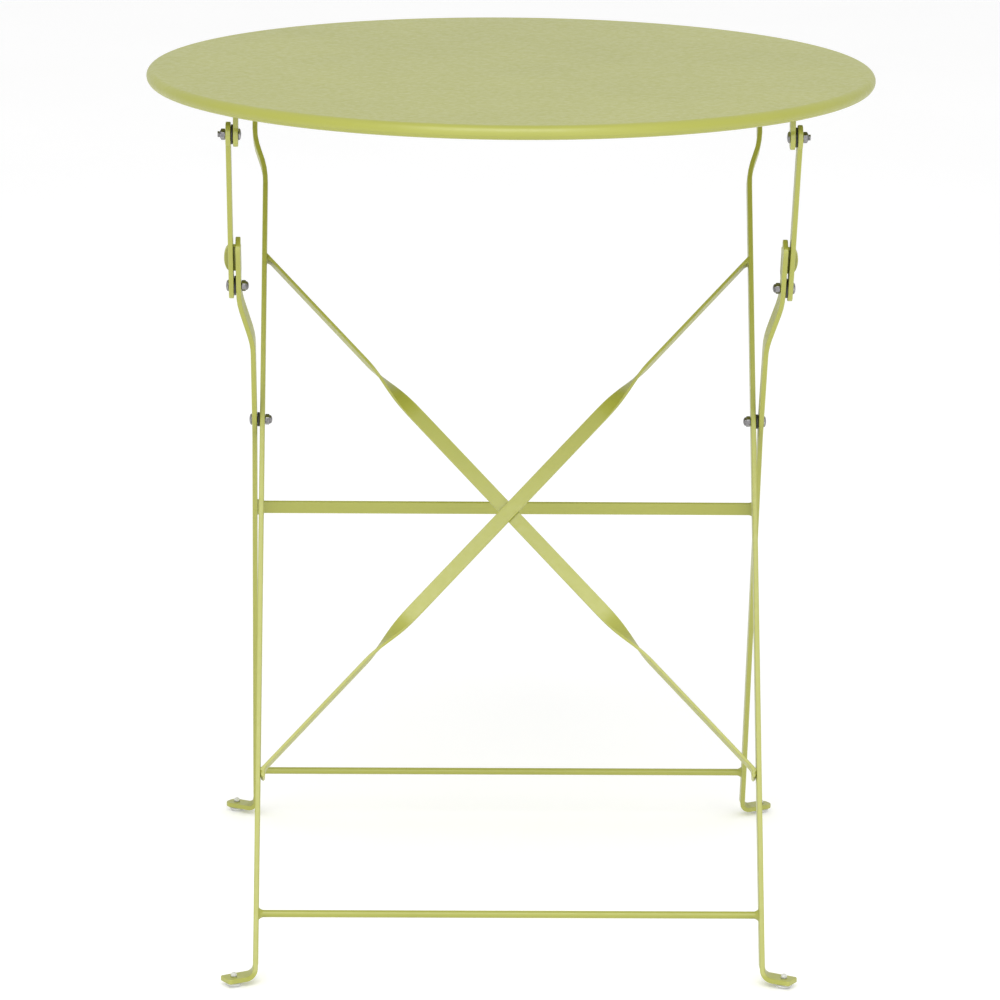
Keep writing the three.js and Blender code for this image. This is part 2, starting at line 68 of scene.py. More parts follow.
INNER_STEP = (603 * MM, 627 * MM)
OUTER_STEP = (490 * MM, 530 * MM)
STEP_EASE = 9 * MM                # how far each corner of a step is rounded along the strip
FOOT_STRAIGHT_Z = 45 * MM
EYE_RADIUS = 10 * MM
TONGUE_END = 48 * MM
TONGUE_CORNER = 3.5 * MM
ARM_HALF_WIDTH = 7.5 * MM
ARM_TAIL = 4 * MM
BOLT_RADIUS = 2.5 * MM
HOLE_RADIUS = 2.85 * MM
HEAD_RADIUS = 4.75 * MM
HEAD_HEIGHT = 2.2 * MM
NUT_ACROSS = 8 * MM
NUT_HEIGHT = 3.6 * MM
NUT_DOME = 2.4 * MM
NUT_COLLAR = 0.5 * MM
NUT_LEVELS = (0, 0.03, 0.07, 0.12, 0.2, 0.3, 0.5, 0.7, 0.8, 0.88, 0.93, 0.97, 1)
NUT_CHAMFER_START = 0.965         # part of the flats' distance where a nut's end face stops
NUT_CHAMFER_SLOPE = 1.7
NUT_NECK = NUT_ACROSS / 2 - 0.35 * MM
WASHER_RADIUS = 8 * MM
SCISSOR_WASHER_RADIUS = 6 * MM
THREAD_END = 2.6 * MM
STUD_LENGTH = ARM_X - LUG_X       # the elbow nut's half of the split bolt
BEND_RADIUS = 7 * MM
TAB_LENGTH = 20.5 * MM
INNER_TAB_CORNER = 2.5 * MM
OUTER_TAB_CORNER = 6 * MM
GLIDE_RADIUS = 7 * MM
GLIDE_HEIGHT = 3.7 * MM
GLIDE_SIDE = ((3.4 * MM, 0), (4.8 * MM, 0.35 * MM), (5.8 * MM, 1.0 * MM), (6.5 * MM, 1.8 * MM),
              (6.9 * MM, 2.6 * MM), (GLIDE_RADIUS, 3.2 * MM), (GLIDE_RADIUS - 0.3 * MM, GLIDE_HEIGHT))
GLIDE_STUD_SIDE = 0.7 * MM        # height of the stud's straight side, below its dome
GLIDE_STEM = 2 * MM
GLIDE_STUD = 2.6 * MM
GLIDE_STUD_HEIGHT = 3.4 * MM
GLIDE_INSET = 12 * MM
BAR_RADIUS = 3 * MM
BAR_FLARE = 5.6 * MM
BAR_FLARE_LENGTH = 4.5 * MM
INNER_BAR_Z = 50 * MM
OUTER_BAR_Z = 46 * MM
BRACE_WIDTH = 12 * MM
STRETCHER_WIDTH = 13 * MM
FLAT_THICKNESS = 2.5 * MM
STRETCHER_Z = 320 * MM
BRACE_TOP = 536 * MM
BRACE_BOTTOM = 151 * MM
BRACE_REAR_LIFT = 1.5 * MM
TWIST_AT = 96 * MM
TWIST_LENGTH = 66 * MM
STOP_ALONG = 20 * MM
STOP_HALF_LENGTH = 13 * MM
STOP_REACH = 14 * MM
STOP_BOW = 4.8 * MM
STOP_THICKNESS = 4 * MM
STOP_CLEARANCE = 1.8 * MM
RAIL_BEND_RADIUS = 5 * MM
EDGE = 0.7 * MM                   # how far the long edges of every thick strip are rounded
FLAT_EDGE = 0.5 * MM              # the same on the thinner braces and stretcher
WELD_REACH = 5 * MM
WELD_WIDTH = 4.5 * MM
WELD_BITE = 0.4 * MM              # how far welded ends run into the leg beside them
THREAD_PITCH = 0.8 * MM
THREAD_DEPTH = 0.28 * MM

POINT = 1e-6                      # a radius this small is a point on the axis

LEAN = math.atan2(FOOT_REACH, SCISSOR_Z)
SIN, COS = math.sin(LEAN), math.cos(LEAN)
ARM_LEAN = LEAN - OVER_CENTRE


class Line:
    """A leg or arm seen from the side: a point on it, its upward direction and its rear side."""

    def __init__(self, origin, up, back, lean):
        self.origin = np.array(origin)
        self.up = np.array(up)
        self.back = np.array(back)
        self.lean = lean

    def at(self, along, across=0.0, x=0.0):
        return self.origin + self.up * along + self.back * across + np.array((x, 0, 0))


INNER = Line((0, -FOOT_REACH, 0), (0, SIN, COS), (0, COS, -SIN), -1)
OUTER = Line((0, FOOT_REACH, 0), (0, -SIN, COS), (0, COS, SIN), 1)
SCISSOR = np.array((0, 0, SCISSOR_Z))
REAR_LUG = INNER.at(LUG_Z / COS)
ELBOW = SCISSOR + OUTER.up * ELBOW_REACH
ARM_LENGTH = (LUG_Z - ELBOW[2]) / math.cos(ARM_LEAN)
ARM = Line(ELBOW, (0, -math.sin(ARM_LEAN), math.cos(ARM_LEAN)),
           (0, math.cos(ARM_LEAN), math.sin(ARM_LEAN)), 1)
FRONT_LUG = ARM.at(ARM_LENGTH)


# ---- materials ----
class Nodes:
    """A node material under construction."""

    def __init__(self, name):
        self.material = bpy.data.materials.new(name)
        self.material.use_nodes = True
        self.tree = self.material.node_tree
        self.shader = self.tree.nodes["Principled BSDF"]
        self.place = self.add("ShaderNodeTexCoord").outputs["Object"]

    def add(self, kind, **settings):
        node = self.tree.nodes.new(kind)
        for key, value in settings.items():
            setattr(node, key, value)
        return node

    def join(self, output, target):
        self.tree.links.new(output, target)

    def noise(self, scale, detail=3.0, roughness=0.5, stretch=None):
        texture = self.add("ShaderNodeTexNoise")
        texture.inputs["Scale"].default_value = scale
        texture.inputs["Detail"].default_value = detail
        texture.inputs["Roughness"].default_value = roughness
        place = self.place
        if stretch:
            mapping = self.add("ShaderNodeMapping")
            mapping.inputs["Scale"].default_value = stretch
            self.join(place, mapping.inputs["Vector"])
            place = mapping.outputs["Vector"]
        self.join(place, texture.inputs["Vector"])
        return texture.outputs["Fac"]

    def spread(self, value, low, high, to_low=0.0, to_high=1.0):
        """value between low and high becomes to_low to to_high."""
        node = self.add("ShaderNodeMapRange")
        for socket, number in zip(("From Min", "From Max", "To Min", "To Max"),
                                  (low, high, to_low, to_high)):
            node.inputs[socket].default_value = number
        self.join(value, node.inputs["Value"])
        return node.outputs["Result"]

    def mix(self, factor, first, second):
        """Two colours mixed; each is a colour or another node's output."""
        node = self.add("ShaderNodeMix", data_type="RGBA")
        a = next(s for s in node.inputs if s.name == "A" and s.type == "RGBA")
        b = next(s for s in node.inputs if s.name == "B" and s.type == "RGBA")
        for socket, colour in ((a, first), (b, second)):
            if isinstance(colour, tuple):
                socket.default_value = (*colour, 1)
            else:
                self.join(colour, socket)
        self.join(factor, node.inputs["Factor"])
        return next(s for s in node.outputs if s.type == "RGBA")

    def bump(self, height, strength, distance, below=None):
        node = self.add("ShaderNodeBump")
        node.inputs["Strength"].default_value = strength
        node.inputs["Distance"].default_value = distance
        self.join(height, node.inputs["Height"])
        if below:
            self.join(below, node.inputs["Normal"])
        return node.outputs["Normal"]

    def edges(self, low, high):
        """0 on flats, rising to 1 on outer edges."""
        return self.spread(self.add("ShaderNodeNewGeometry").outputs["Pointiness"], low, high)

    def finish(self, colour, roughness, normal, **constants):
        self.join(colour, self.shader.inputs["Base Color"])
        self.join(roughness, self.shader.inputs["Roughness"])
        self.join(normal, self.shader.inputs["Normal"])
        for name, value in constants.items():
            self.shader.inputs[name.replace("_", " ")].default_value = value
        return self.material


def powder_coat():
    """Satin powder paint: faint mottling, orange peel, and paler along the edges, partly a thinner coat
    there, partly a painted highlight.
    """
    n = Nodes("powder_coat")
    mottle = n.spread(n.noise(9, 4), 0.3, 0.7)
    body = n.mix(mottle, (0.315, 0.327, 0.041), (0.340, 0.352, 0.050))
    fleck = n.spread(n.noise(1500, 2), 0.62, 0.78, 0.0, 0.35)
    flecked = n.mix(fleck, body, (0.25, 0.26, 0.032))
    # paler edges: partly the thinner coat there, partly a painted highlight on the edges
    colour = n.mix(n.edges(0.52, 0.62), flecked, (0.48, 0.49, 0.14))
    roughness = n.spread(n.noise(240, 4), 0.3, 0.7, 0.30, 0.42)
    peel = n.bump(n.noise(900, 2, 0.45), 0.16, 0.12 * MM)
    wave = n.bump(n.noise(60, 2), 0.10, 0.5 * MM, peel)
    return n.finish(colour, roughness, wave, Specular_IOR_Level=0.8)


def plated_steel():
    """Bright plating with fine turning marks and slightly dulled patches; painted shade in its hollows
    and a painted highlight along its edges.
    """
    n = Nodes("plated_steel")
    patch = n.spread(n.noise(420, 4), 0.35, 0.65)
    colour = n.mix(patch, (0.15, 0.145, 0.15), (0.27, 0.265, 0.27))
    # painted shade: hollows and thread grooves darkened where shade falls
    painted_hollow_shade = n.mix(n.edges(0.49, 0.42), colour, (0.02, 0.018, 0.02))
    # painted highlight: outer edges lightened where light catches them
    painted_edge_highlight = n.mix(n.edges(0.53, 0.60), painted_hollow_shade, (0.62, 0.62, 0.61))
    roughness = n.spread(n.noise(700, 3), 0.3, 0.7, 0.08, 0.22)
    marks = n.bump(n.noise(500, 3, 0.6, (12, 1, 1)), 0.12, 0.05 * MM)
    return n.finish(painted_edge_highlight, roughness, marks, Metallic=1.0)


def black_washer():
    """Black nylon, faintly grained and scuffed grey at the rim."""
    n = Nodes("black_washer")
    grain = n.spread(n.noise(1100, 3), 0.35, 0.7)
    colour = n.mix(grain, (0.012, 0.011, 0.010), (0.035, 0.033, 0.031))
    scuffed = n.mix(n.edges(0.53, 0.64), colour, (0.09, 0.088, 0.085))
    roughness = n.spread(n.noise(600, 3), 0.3, 0.7, 0.42, 0.62)
    return n.finish(scuffed, roughness, n.bump(grain, 0.2, 0.05 * MM))


def clear_glide():
    """Milky moulded plastic, a little cloudy inside and scuffed where it meets the floor."""
    n = Nodes("clear_glide")
    cloud = n.spread(n.noise(300, 3), 0.3, 0.7)
    colour = n.mix(cloud, (0.70, 0.71, 0.66), (0.83, 0.84, 0.80))
    scuffed = n.mix(n.edges(0.53, 0.66), colour, (0.62, 0.62, 0.57))
    roughness = n.spread(n.noise(900, 3), 0.3, 0.7, 0.28, 0.5)
    return n.finish(scuffed, roughness, n.bump(n.noise(1300, 2), 0.12, 0.05 * MM),
                    Transmission_Weight=0.35, Subsurface_Weight=0.25, Subsurface_Scale=1.0,
                    Subsurface_Radius=(0.004, 0.004, 0.0035), IOR=1.49)


MATERIALS = {"powder_coat": powder_coat(), "plated_steel": plated_steel(),
             "black_washer": black_washer(), "clear_glide": clear_glide()}


# ---- mesh helpers ----
def mesh_from(name, points, faces):
    """A closed, smooth-shaded object whose faces point outwards."""
    mesh = bpy.data.meshes.new(name)
    mesh.from_pydata([tuple(map(float, p)) for p in points], [], faces)
    shape = bmesh.new()
    shape.from_mesh(mesh)
    bmesh.ops.remove_doubles(shape, verts=shape.verts, dist=1e-7)
    bmesh.ops.dissolve_degenerate(shape, dist=1e-8, edges=shape.edges)
    bmesh.ops.recalc_face_normals(shape, faces=shape.faces)
    for face in shape.faces:
        face.smooth = True
    shape.to_mesh(mesh)
    shape.free()
    piece = bpy.data.objects.new(name, mesh)
    bpy.context.scene.collection.objects.link(piece)
    return piece


def apply_modifiers(piece):
    """Replaces a piece's mesh by what its modifiers make of it."""
    bpy.context.view_layer.update()
    graph = bpy.context.evaluated_depsgraph_get()
    mesh = bpy.data.meshes.new_from_object(piece.evaluated_get(graph))
    piece.modifiers.clear()
    piece.data = mesh
    return piece


def combine(piece, tools, operation):
    """Joins or cuts a piece with others, which are used up."""
    for tool in tools:
        step = piece.modifiers.new(tool.name, "BOOLEAN")
        step.operation = operation
        step.solver = "EXACT"
        step.object = tool
        apply_modifiers(piece)
        bpy.data.objects.remove(tool)
    for face in piece.data.polygons:
        face.use_smooth = True
    return piece


def settle(piece, body, slot, *nodes):
    """Finish, body and the CAD nodes that a piece stands for."""
    piece.data.materials.clear()
    piece.data.materials.append(MATERIALS[slot])
    normals = piece.modifiers.new("weighted_normals", "WEIGHTED_NORMAL")
    normals.weight = 100
    apply_modifiers(piece)
    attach(piece, body)
    if nodes:
        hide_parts(*nodes)
    return piece


def rings_mesh(name, rings, closed=False):
    """A skin over rings of points, capped at both ends or joined end to end.
    A ring may be one point.
    """
    starts, points, faces = [], [], []
    for ring in rings:
        starts.append(len(points))
        points.extend(ring)
    count = max(len(ring) for ring in rings)
    for i in range(len(rings) if closed else len(rings) - 1):
        j = (i + 1) % len(rings)
        a, b = starts[i], starts[j]
        for first in range(count):
            second = (first + 1) % count
            if len(rings[i]) == 1:
                faces.append((a, b + second, b + first))
            elif len(rings[j]) == 1:
                faces.append((a + first, a + second, b))
            else:
                faces.append((a + first, a + second, b + second, b + first))
    if not closed:
        for ring, start in ((rings[0], starts[0]), (rings[-1], starts[-1])):
            if len(ring) > 1:
                faces.append(tuple(range(start, start + len(ring))))
    return mesh_from(name, points, faces)


def turned_ring(place, along, segments, radius_at):
    """A ring of points whose radius depends on the angle, or one point on the axis."""
    angles = np.linspace(0, 2 * math.pi, segments, endpoint=False)
    if max(radius_at(a) for a in angles) <= POINT:
        return [place(0.0, 0.0, along)]
    return [place(radius_at(a) * math.cos(a), radius_at(a) * math.sin(a), along) for a in angles]


def lathe(name, profile, place, segments=48, closed=False):
    """Turns (radius, along) points about an axis; place(u, v, along) gives each point."""
    rings = [turned_ring(place, along, segments, lambda angle, r=radius: r)
             for radius, along in profile]
    return rings_mesh(name, rings, closed)


def outline_insets(outline, distance):
    """The closed outline moved inwards by a distance."""
    points = np.array(outline)
    ahead = np.roll(points, -1, axis=0) - points
    behind = points - np.roll(points, 1, axis=0)
    ahead /= np.linalg.norm(ahead, axis=1)[:, None]
    behind /= np.linalg.norm(behind, axis=1)[:, None]
    normal = ahead + behind
    normal = np.stack((-normal[:, 1], normal[:, 0]), axis=1)
    normal /= np.linalg.norm(normal, axis=1)[:, None]
    stretch = 1 / np.maximum(0.5, (normal[:, 0] * -ahead[:, 1] + normal[:, 1] * ahead[:, 0]))
    following = np.roll(points, -1, axis=0)
    area = np.sum(points[:, 0] * following[:, 1] - following[:, 0] * points[:, 1])
    sign = 1 if area > 0 else -1
    return points + sign * normal * stretch[:, None] * distance


def plate(name, stations, thickness, place, edge=EDGE, edge_steps=3):
    """A strip with rounded edges.
    stations are (along, half width), and place(along, across, out) bends the strip.
    """
    stations = np.array(stations)
    outline = np.vstack((stations, (stations * (1, -1))[::-1]))
    half = thickness / 2
    levels = []
    for step in range(edge_steps + 1):
        angle = step / edge_steps * math.pi / 2
        levels.append((edge * (1 - math.sin(angle)), half - edge * (1 - math.cos(angle))))
    layers = [(inset, -out) for inset, out in levels]
    layers += [(inset, out) for inset, out in levels[::-1]]
    points = []
    for inset, out in layers:
        points.extend(place(a, w, out) for a, w in outline_insets(outline, inset))
    count = len(outline)
    faces = []
    for layer in range(len(layers) - 1):
        for j in range(count):
            k = (j + 1) % count
            a, b = layer * count, (layer + 1) * count
            faces.append((a + j, a + k, b + k, b + j))
    top = (len(layers) - 1) * count
    for base in (0, top):
        for i in range(len(stations) - 1):
            far = count - 1 - i
            faces.append((base + i, base + i + 1, base + far - 1, base + far))
    return mesh_from(name, points, faces)


def round_end(radius, half_width, centre, direction, steps=9):
    """Stations round the end of a strip, from its tip to where it has its full width."""
    found = []
    for turn in np.linspace(0.16, math.pi / 2, steps):
        found.append((centre + direction * radius * math.cos(turn), radius * math.sin(turn)))
    if radius > half_width:
        last = math.pi - math.asin(half_width / radius)
        for turn in np.linspace(math.pi / 2, last, 4)[1:]:
            found.append((centre + direction * radius * math.cos(turn), radius * math.sin(turn)))
    return found


def weld_spread(distance):
    """How much a piece is widened by the fillet of weld at its end."""
    part = min(max(distance / WELD_REACH, 0), 1)
    return WELD_WIDTH * (1 - part) ** 2


# ---- strips ----
def eased(knots):
    """Straight runs between (along, x) knots with each corner rounded."""
    along, x = zip(*sorted(knots))
    spots = np.linspace(-STEP_EASE, STEP_EASE, 9)
    return lambda s: float(np.mean(np.interp(s + spots, along, x)))


def leg_place(line, path, foot_x, side):
    """Bends a flat strip into a leg: its sideways steps, then the level bend into the foot tab."""
    bend_z = GLIDE_HEIGHT + GAP + STRIP / 2 + BEND_RADIUS
    delta = 0.5 * MM

    def place(along, across, out):
        spot = line.at(along, across)
        if spot[2] >= bend_z:
            slope = (path(along + delta) - path(along - delta)) / (2 * delta)
            size = math.hypot(1, slope)
            spot = spot - line.up * (out * slope / size)
            return (side * (path(along) + out / size), spot[1], spot[2])
        run = bend_z - spot[2]
        turn = min(run / BEND_RADIUS, math.pi / 2)
        extra = max(0.0, run - BEND_RADIUS * math.pi / 2)
        x = foot_x + BEND_RADIUS * (1 - math.cos(turn)) + extra + out * math.cos(turn)
        z = bend_z - BEND_RADIUS * math.sin(turn) + out * math.sin(turn)
        return (side * x, spot[1], z)
    return place


def square_end(corner, end, direction, steps=8):
    """Stations from the tip of a square end with small round corners to its full width."""
    half = STRIP_WIDTH / 2
    return [(end - direction * corner * (1 - math.sin(t)), half - corner * (1 - math.cos(t)))
            for t in np.linspace(math.pi / 2, 0, steps)]


def leg_stations(top_end, corner):
    """From a leg's shaped top end down to the corners of the foot tab."""
    bend = (GLIDE_HEIGHT + GAP + STRIP / 2 + BEND_RADIUS) / COS
    tab = bend - BEND_RADIUS * math.pi / 2 / COS
    end = tab - TAB_LENGTH
    half = STRIP_WIDTH / 2
    found = list(top_end)
    straight = np.arange(found[-1][0] - 4 * MM, bend + 16 * MM, -7 * MM)
    round_the_bend = np.arange(bend + 10 * MM, end + corner + 1 * MM, -1.5 * MM)
    found += [(float(s), half) for s in (*straight, *round_the_bend)]
    return found + square_end(corner, end, -1)[::-1]


def outer_x(height):
    """Distance of an outer leg's middle from the centre plane, below the scissor bolts."""
    return OUTER_X + (OUTER_FOOT_X - OUTER_X) * (1 - height / SCISSOR_Z)


OUTER_TAB_X = outer_x(BEND_RADIUS * 2)


def glide_centre(line, foot_x):
    """The middle of the glide's hole in a foot tab."""
    bend_z = GLIDE_HEIGHT + GAP + STRIP / 2 + BEND_RADIUS
    drift = math.tan(LEAN) * line.lean
    start_y = line.origin[1] - drift * bend_z + drift * BEND_RADIUS * math.pi / 2
    return np.array((foot_x + BEND_RADIUS + GLIDE_INSET * COS,
                     start_y + GLIDE_INSET * SIN * line.lean, bend_z - BEND_RADIUS))


def upright(centre, side=1):
    """Places turned shapes on a vertical axis."""
    return lambda u, v, along: (side * centre[0] + u, centre[1] + v, along)


def crosswise(centre, side=1):
    """Places turned shapes on an axis parallel to X; along is the distance from the middle."""
    return lambda u, v, along: (side * along, centre[1] + u, centre[2] + v)


def glide_hole(centre, side):
    """A cutter for the hole that a glide's stem goes through."""
    radius = GLIDE_STEM + 2 * GAP
    low, high = centre[2] - STRIP, centre[2] + STRIP
    return lathe("glide_hole", [(0, low), (radius, low), (radius, high), (0, high)],
                 upright(centre, side), 32)


def inner_leg(name, side):
    """From the rear lug down to the front foot, stepped inwards once."""
    top = LUG_Z / COS
    path = eased([(2, INNER_TOP_X), (INNER_STEP[1] / COS, INNER_TOP_X),
                  (INNER_STEP[0] / COS, INNER_X), (-1, INNER_X)])
    top_end = round_end(STRIP_WIDTH / 2, STRIP_WIDTH / 2, top, 1)
    leg = plate(name, leg_stations(top_end, INNER_TAB_CORNER), STRIP,
                leg_place(INNER, path, INNER_X, side))
    return combine(leg, [glide_hole(glide_centre(INNER, INNER_X), side)], "DIFFERENCE")


def stop_tab(side):
    """The plate behind the arm, with a web into the rear edge of the tongue."""
    root = ARM.at(STOP_ALONG, STRIP_WIDTH / 2 + STOP_CLEARANCE, LUG_X - STRIP / 2)
    straight = STOP_REACH - STOP_BOW
    stations = [(0.0, STOP_HALF_LENGTH), (straight / 2, STOP_HALF_LENGTH)]
    stations += [(straight + STOP_BOW * math.sin(t), STOP_HALF_LENGTH * math.cos(t))
                 for t in np.linspace(0, math.pi / 2 - 0.12, 14)]

    def place(out_x, along, depth):
        spot = root + ARM.up * along + ARM.back * (STOP_THICKNESS / 2 + depth)
        return (side * (spot[0] + out_x), spot[1], spot[2])
    bowed = plate("stop_plate", stations, STOP_THICKNESS, place)

    low = STRIP_WIDTH / 2 - 4 * MM
    high = STRIP_WIDTH / 2 + STOP_CLEARANCE + STOP_THICKNESS
    middle, half = (low + high) / 2, (high - low) / 2

    def web_place(along, back, out):
        spot = ARM.at(along, back + middle, LUG_X + out)
        return (side * spot[0], spot[1], spot[2])
    web = plate("stop_web", [(STOP_ALONG - STOP_HALF_LENGTH, half), (STOP_ALONG, half),
                             (STOP_ALONG + STOP_HALF_LENGTH, half)], STRIP, web_place)
    return combine(bowed, [web], "UNION")


def outer_leg(name, side):
    """From the square tongue down to the rear foot, with the stop plate on its tongue."""
    scissor = SCISSOR_Z / COS
    top = scissor + ELBOW_REACH + TONGUE_END
    path = eased([(2, LUG_X), (OUTER_STEP[1] / COS, LUG_X), (OUTER_STEP[0] / COS, OUTER_X),
                  (scissor - EYE_RADIUS, OUTER_X), (FOOT_STRAIGHT_Z / COS, outer_x(FOOT_STRAIGHT_Z)),
                  (0, OUTER_TAB_X), (-1, OUTER_TAB_X)])
    leg = plate(name, leg_stations(square_end(TONGUE_CORNER, top, 1), OUTER_TAB_CORNER), STRIP,
                leg_place(OUTER, path, OUTER_TAB_X, side))
    combine(leg, [glide_hole(glide_centre(OUTER, OUTER_TAB_X), side)], "DIFFERENCE")
    return combine(leg, [stop_tab(side)], "UNION")


def link_arm(name, side):
    """A flat arm with a wider eye at its upper end and a round lower end."""
    eye = round_end(EYE_RADIUS, ARM_HALF_WIDTH, ARM_LENGTH, 1)
    tail = round_end(ARM_HALF_WIDTH, ARM_HALF_WIDTH, -ARM_TAIL, -1)[::-1]
    run = [(float(s), ARM_HALF_WIDTH) for s in np.linspace(eye[-1][0], tail[0][0], 16)[1:-1]]

    def place(along, across, out):
        spot = ARM.at(along, across, ARM_X + out)
        return (side * spot[0], spot[1], spot[2])
    return plate(name, eye + run + tail, STRIP, place)


def lug_rail(name, pivot):
    """A strip under the top whose ends turn down as round lugs."""
    rail_z = TABLE_HEIGHT - SHEET - GAP - STRIP / 2
    flat = LUG_X - RAIL_BEND_RADIUS
    arc = RAIL_BEND_RADIUS * math.pi / 2
    drop = rail_z - RAIL_BEND_RADIUS - pivot[2]
    centre = flat + arc + drop
    end = round_end(EYE_RADIUS, STRIP_WIDTH / 2, centre, 1, 8)
    bend = np.arange(end[-1][0] - 0.8 * MM, flat - 2 * MM, -1 * MM)
    run = [(float(s), STRIP_WIDTH / 2) for s in bend]
    half = end + run
    middle = [(float(s), STRIP_WIDTH / 2) for s in np.linspace(flat - 4 * MM, -flat + 4 * MM, 25)]
    stations = half + middle + [(-s, w) for s, w in half[::-1]]

    def place(along, across, out):
        side, run_out = (1 if along > 0 else -1), abs(along)
        turn = min(max(0.0, (run_out - flat) / RAIL_BEND_RADIUS), math.pi / 2)
        straight = min(run_out, flat)
        down = max(0.0, run_out - flat - arc)
        x = straight + RAIL_BEND_RADIUS * math.sin(turn) + out * math.sin(turn)
        z = rail_z - RAIL_BEND_RADIUS * (1 - math.cos(turn)) - down + out * math.cos(turn)
        return (side * x, pivot[1] + across, z)
    return plate(name, stations, STRIP, place)


def flat_stretcher(name):
    """The flat bar between the outer legs, spread into a weld at each end."""
    reach = outer_x(STRETCHER_Z) - STRIP / 2 + WELD_BITE
    centre = OUTER.at(STRETCHER_Z / COS, (STRIP_WIDTH - FLAT_THICKNESS) / 2)

    def place(along, across, out):
        spread = weld_spread(reach - abs(along))
        return tuple(centre + OUTER.up * (across * (1 + spread / STRETCHER_WIDTH))
                     + OUTER.back * out * (1 + 0.3 * spread / FLAT_THICKNESS) + np.array((along, 0, 0)))
    tips = [reach - WELD_REACH * part for part in np.linspace(0, 1, 8)]
    run = list(np.linspace(tips[-1], -tips[-1], 29))[1:-1]
    stations = [(float(s), STRETCHER_WIDTH / 2) for s in tips + run + [-s for s in tips[::-1]]]
    return plate(name, stations, FLAT_THICKNESS, place, FLAT_EDGE)


def brace(name, rise, offset, lift):
    """A diagonal strip, flat in the middle and twisted a quarter turn towards each end."""
    reach = INNER_X - STRIP / 2 + WELD_BITE
    half = (BRACE_TOP - BRACE_BOTTOM) / COS / 2
    middle = INNER.at(((BRACE_TOP + BRACE_BOTTOM) / 2 + lift) / COS, offset)
    slope = math.atan2(half, reach)
    x_axis = np.array((1, 0, 0))
    across = x_axis * math.cos(slope) + INNER.up * math.sin(slope) * rise
    lower = x_axis * math.sin(slope) * rise - INNER.up * math.cos(slope)
    front = -INNER.back
    start = TWIST_AT / math.cos(slope) - TWIST_LENGTH / 2

    def place(along, width, out):
        part = min(max((abs(along) - start) / TWIST_LENGTH, 0), 1)
        turn = part * part * (3 - 2 * part) * math.pi / 2
        if out < 0:
            out *= 1 + 2 * weld_spread(reach - abs(across[0] * along)) / FLAT_THICKNESS
        spot = middle + across * along \
            + (lower * math.cos(turn) + front * math.sin(turn)) * width \
            + (front * math.cos(turn) - lower * math.sin(turn)) * out
        over = abs(spot[0]) - reach
        if over > 0:
            spot = spot - across * (math.copysign(over, spot[0]) / across[0])
        return tuple(spot)
    length = reach / math.cos(slope) + FLAT_THICKNESS
    tips = [length - s for s in np.linspace(0, 12 * MM, 13)]
    run = list(np.linspace(tips[-1], -tips[-1], 171))[1:-1]
    stations = [(float(s), BRACE_WIDTH / 2) for s in tips + run + [-s for s in tips[::-1]]]
    return plate(name, stations, FLAT_THICKNESS, place, FLAT_EDGE)


# ---- top ----
def tabletop(name):
    """Pressed sheet with its edge rolled under."""
    bead_r, bead_z = TOP_RADIUS - BEAD_RADIUS, TABLE_HEIGHT - BEAD_RADIUS

    def arc(radius, start, end, steps, crease=0.0):
        turns = np.linspace(start, end, steps)
        sizes = radius - crease * np.exp(-((turns - RIM_CREASE_AT) / RIM_CREASE_SPREAD) ** 2)
        return list(zip(bead_r + sizes * np.cos(turns), bead_z + sizes * np.sin(turns)))
    spokes = [bead_r * part for part in (0.04, 0.12, 0.24, 0.38, 0.52, 0.66, 0.79, 0.9, 0.96, 0.985)]
    profile = [(0, TABLE_HEIGHT - SHEET)]
    profile += [(r, TABLE_HEIGHT - SHEET) for r in spokes]
    profile += arc(BEAD_RADIUS - SHEET, math.pi / 2, CURL_END, 28)
    profile += arc(BEAD_RADIUS, CURL_END, math.pi / 2, 84, RIM_CREASE_DEPTH)
    profile += [(r, TABLE_HEIGHT) for r in spokes[::-1]]
    profile.append((0, TABLE_HEIGHT))
    return lathe(name, profile, upright((0, 0, 0)), 240)


# ---- bars and welds ----
def foot_bar(name, line, height, half_length):
    """A round bar whose ends spread into a fillet of weld."""
    centre = line.at(height / COS)
    flare = []
    for part in np.linspace(0, 1, 9):
        radius = BAR_RADIUS + (BAR_FLARE - BAR_RADIUS) * (1 - part) ** 2
        flare.append((radius, half_length - BAR_FLARE_LENGTH * part))
    body = [(BAR_RADIUS, x) for x in np.linspace(flare[-1][1], -flare[-1][1], 41)[1:-1]]
    profile = [(0, half_length)] + flare + body
    profile += [(r, -x) for r, x in flare[::-1]] + [(0, -half_length)]
    return lathe(name, profile, crosswise(centre), 36)


# ---- fasteners ----
def dome_profile(radius, x, out, height, steps=8):
    """Points of a low dome from its rim to its crown."""
    return [(max(0.0, radius * math.cos(a)), x + out * height * math.sin(a))
            for a in np.linspace(0, math.pi / 2, steps)]


def bolt(name, centre, head_x, end_x, side, thread_from=None):
    """A domed head on a shank, with a helical thread where the end shows."""
    out = math.copysign(1, head_x - end_x)
    rim, bevel = 0.5 * MM, 0.2 * MM
    profile = [(0, end_x), (BOLT_RADIUS * 0.86, end_x), (BOLT_RADIUS, end_x + out * 0.35 * MM)]
    first_thread = len(profile)
    if thread_from is not None:
        count = int(abs(thread_from - end_x) / (THREAD_PITCH / 8))
        profile += [(BOLT_RADIUS, x) for x in np.linspace(end_x + out * 0.45 * MM, thread_from, count)]
    threads = range(first_thread, len(profile))
    profile += [(BOLT_RADIUS, head_x), (HEAD_RADIUS - bevel, head_x),
                (HEAD_RADIUS, head_x + out * bevel)]
    profile += dome_profile(HEAD_RADIUS, head_x + out * rim, out, HEAD_HEIGHT - rim)
    place = crosswise(centre, side)
    rings = []
    for i, (radius, along) in enumerate(profile):
        cut = THREAD_DEPTH if i in threads else 0.0
        pitch = along / THREAD_PITCH
        rings.append(turned_ring(place, along, 36, lambda a, r=radius, d=cut, p=pitch:
                                 r - d * abs(2 * ((p + a / (2 * math.pi)) % 1) - 1)))
    return rings_mesh(name, rings)


